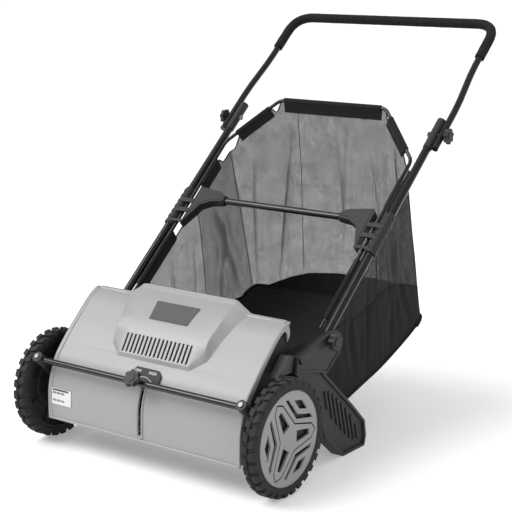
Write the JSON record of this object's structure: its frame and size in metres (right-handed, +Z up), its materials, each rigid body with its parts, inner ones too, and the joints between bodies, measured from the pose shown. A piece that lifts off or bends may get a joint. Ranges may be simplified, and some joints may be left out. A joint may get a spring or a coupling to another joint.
{
  "type": "lawn sweeper",
  "caption": "Push lawn sweeper: a grey hood over a wheel-driven rotary brush, black folding handle and an open mesh collection bag behind, standing on wheels and stand legs.",
  "frame": {"origin": "on the ground, at the middle of the sweeper's overall width and depth", "axes": "+X to the right seen from the front, +Y backwards from the wheels to the handle, +Z up"},
  "size_m": [0.6704, 1.0596, 0.9246],
  "materials": {
    "hood_grey": "satin moulded",
    "cap_grey": "satin moulded",
    "badge_grey": "satin",
    "label_white": "printed film",
    "black_plastic": "fine grain",
    "black_paint": "gloss powder coat",
    "steel": "zinc plated",
    "tyre_rubber": "dull",
    "grip_foam": "closed-cell foam",
    "bristle_black": "nylon",
    "bag_fabric": "dense woven polyester",
    "bag_mesh": "open mesh polyester"
  },
  "bodies": {
    "chassis": {"hood": "hood_grey", "vent_grille": "hood_grey", "badge_plate": "badge_grey", "hood_label": "label_white", "height_scale_plate": "black_plastic", "side_plate_left": "black_plastic", "side_plate_right": "black_plastic", "axle_stub_left": "steel", "axle_stub_right": "steel", "stand_leg_left": "black_plastic", "stand_leg_right": "black_plastic", "hood_clip_left": "black_plastic", "hood_clip_right": "black_plastic", "rear_tie_bar": "black_paint", "lower_tube_left": "black_paint", "lower_tube_right": "black_paint", "tube_sleeve_left": "black_plastic", "tube_sleeve_right": "black_plastic", "handle_clamp_left": "black_plastic", "handle_clamp_right": "black_plastic", "crossbar": "black_paint", "leg_bolt_left": "steel", "leg_bolt_right": "steel", "fold_bolt_left": "steel", "fold_bolt_right": "steel"},
    "height_adjuster": {"adjuster_arm_left": "black_plastic", "adjuster_arm_right": "black_plastic", "rod_screw_left": "steel", "rod_screw_right": "steel", "adjuster_rod": "black_paint", "adjuster_bolt": "steel"},
    "adjuster_knob": {"adjuster_knob": "black_plastic"},
    "wheel_left": {"tyre_left": "tyre_rubber", "wheel_rim_left": "black_plastic", "hubcap_left": "cap_grey", "axle_cap_left": "cap_grey"},
    "wheel_right": {"tyre_right": "tyre_rubber", "wheel_rim_right": "black_plastic", "hubcap_right": "cap_grey", "axle_cap_right": "cap_grey"},
    "brush_rotor": {"brush_shaft": "steel", "brush_core": "black_plastic", "bristle_row_1": "bristle_black", "bristle_row_2": "bristle_black", "bristle_row_3": "bristle_black", "bristle_row_4": "bristle_black", "pinion_right": "black_plastic"},
    "pinion_left": {"pinion_left": "black_plastic"},
    "upper_handle": {"upper_handle_tube": "black_paint", "foam_grip": "grip_foam"},
    "leg_knob_left": {"leg_knob_left": "black_plastic"},
    "leg_knob_right": {"leg_knob_right": "black_plastic"},
    "fold_knob_left": {"fold_knob_left": "black_plastic"},
    "fold_knob_right": {"fold_knob_right": "black_plastic"},
    "bag": {"bag_frame": "black_paint", "bag_side_left": "bag_mesh", "bag_side_right": "bag_mesh", "bag_floor": "bag_fabric", "bag_back": "bag_mesh"}
  },
  "joints": [
    {"name": "height_adjust", "type": "hinge", "parent": "chassis", "child": "height_adjuster", "pos_m": [0, -0.40483, 0.125], "axis": [1, 0, 0], "range_deg": [0, 60]},
    {"name": "wheel_left_spin", "type": "hinge", "parent": "height_adjuster", "child": "wheel_left", "pos_m": [-0.318, -0.40483, 0.125], "axis": [1, 0, 0], "continuous": true},
    {"name": "wheel_right_spin", "type": "hinge", "parent": "height_adjuster", "child": "wheel_right", "pos_m": [0.318, -0.40483, 0.125], "axis": [1, 0, 0], "continuous": true},
    {"name": "brush_spin", "type": "hinge", "parent": "height_adjuster", "child": "brush_rotor", "pos_m": [0, -0.38036, 0.09725], "axis": [1, 0, 0], "continuous": true},
    {"name": "pinion_left_spin", "type": "hinge", "parent": "height_adjuster", "child": "pinion_left", "pos_m": [-0.31, -0.38036, 0.09725], "axis": [1, 0, 0], "continuous": true},
    {"name": "adjuster_knob_turn", "type": "hinge", "parent": "height_adjuster", "child": "adjuster_knob", "pos_m": [0, -0.50052, 0.21299], "axis": [0, -0.7361, 0.6769], "continuous": true},
    {"name": "handle_fold", "type": "hinge", "parent": "chassis", "child": "upper_handle", "pos_m": [0, 0.23803, 0.67174], "axis": [1, 0, 0], "range_deg": [0, 170]},
    {"name": "leg_knob_left_turn", "type": "hinge", "parent": "chassis", "child": "leg_knob_left", "pos_m": [-0.315, -0.21383, 0.283], "axis": [1, 0, 0], "continuous": true},
    {"name": "leg_knob_right_turn", "type": "hinge", "parent": "chassis", "child": "leg_knob_right", "pos_m": [0.315, -0.21383, 0.283], "axis": [1, 0, 0], "continuous": true},
    {"name": "fold_knob_left_turn", "type": "hinge", "parent": "upper_handle", "child": "fold_knob_left", "pos_m": [-0.324, 0.23803, 0.67174], "axis": [1, 0, 0], "continuous": true},
    {"name": "fold_knob_right_turn", "type": "hinge", "parent": "upper_handle", "child": "fold_knob_right", "pos_m": [0.324, 0.23803, 0.67174], "axis": [1, 0, 0], "continuous": true},
    {"name": "bag_unhook", "type": "slide", "parent": "chassis", "child": "bag", "axis": [0, 0.6521, -0.7581], "range_m": [0, 0.06]}
  ],
  "couplings": [
    {"joint": "brush_spin", "follows": "wheel_right_spin", "ratio": 4.7},
    {"joint": "pinion_left_spin", "follows": "wheel_left_spin", "ratio": 4.7}
  ]
}
